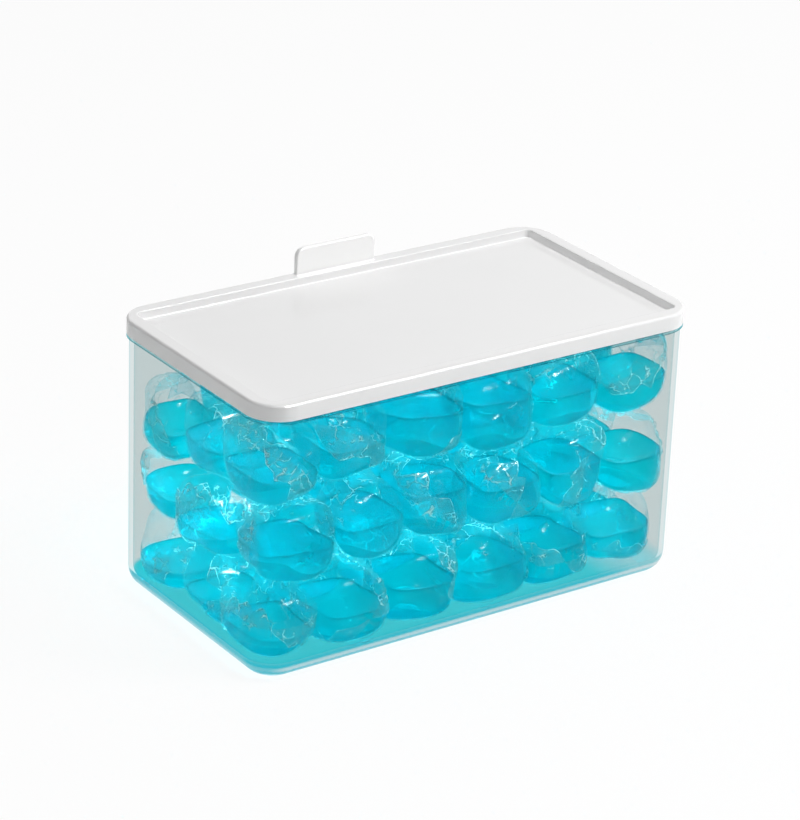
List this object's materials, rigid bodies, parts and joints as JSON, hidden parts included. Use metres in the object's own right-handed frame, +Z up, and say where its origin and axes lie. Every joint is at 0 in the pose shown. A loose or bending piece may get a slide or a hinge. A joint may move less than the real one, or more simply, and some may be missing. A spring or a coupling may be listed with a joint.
{
  "type": "detergent storage box",
  "caption": "Clear rectangular storage box with rounded corners and a white lift-off lid with a sunken top and an upright tab, filled with soft liquid detergent pods.",
  "frame": {"origin": "middle of the footprint, on the surface that the box stands on", "axes": "+X along the long side, +Y towards the long edge that carries the tab, +Z up"},
  "size_m": [0.23, 0.1266, 0.1445],
  "materials": {
    "clear_plastic": "clear, glossy",
    "white_plastic": "white, glossy",
    "pod_film": "clear film over blue liquid"
  },
  "bodies": {
    "box": {"tub": "clear_plastic", "pod_01": "pod_film", "pod_02": "pod_film", "pod_03": "pod_film", "pod_04": "pod_film", "pod_05": "pod_film", "pod_06": "pod_film", "pod_07": "pod_film", "pod_08": "pod_film", "pod_09": "pod_film", "pod_10": "pod_film", "pod_11": "pod_film", "pod_12": "pod_film", "pod_13": "pod_film", "pod_14": "pod_film", "pod_15": "pod_film", "pod_16": "pod_film", "pod_17": "pod_film", "pod_18": "pod_film", "pod_19": "pod_film", "pod_20": "pod_film", "pod_21": "pod_film", "pod_22": "pod_film", "pod_23": "pod_film", "pod_24": "pod_film", "pod_25": "pod_film", "pod_26": "pod_film", "pod_27": "pod_film", "pod_28": "pod_film", "pod_29": "pod_film", "pod_30": "pod_film", "pod_31": "pod_film", "pod_32": "pod_film", "pod_33": "pod_film", "pod_34": "pod_film", "pod_35": "pod_film", "pod_36": "pod_film", "pod_37": "pod_film", "pod_38": "pod_film", "pod_39": "pod_film", "pod_40": "pod_film", "pod_41": "pod_film", "pod_42": "pod_film", "pod_43": "pod_film", "pod_44": "pod_film", "pod_45": "pod_film", "pod_46": "pod_film", "pod_47": "pod_film", "pod_48": "pod_film", "pod_49": "pod_film", "pod_50": "pod_film", "pod_51": "pod_film", "pod_52": "pod_film", "pod_53": "pod_film", "pod_54": "pod_film"},
    "lid": {"lid": "white_plastic"}
  },
  "joints": [
    {"name": "lid_lift", "type": "slide", "parent": "box", "child": "lid", "axis": [0, 0, 1], "range_m": [0, 0.08]}
  ]
}
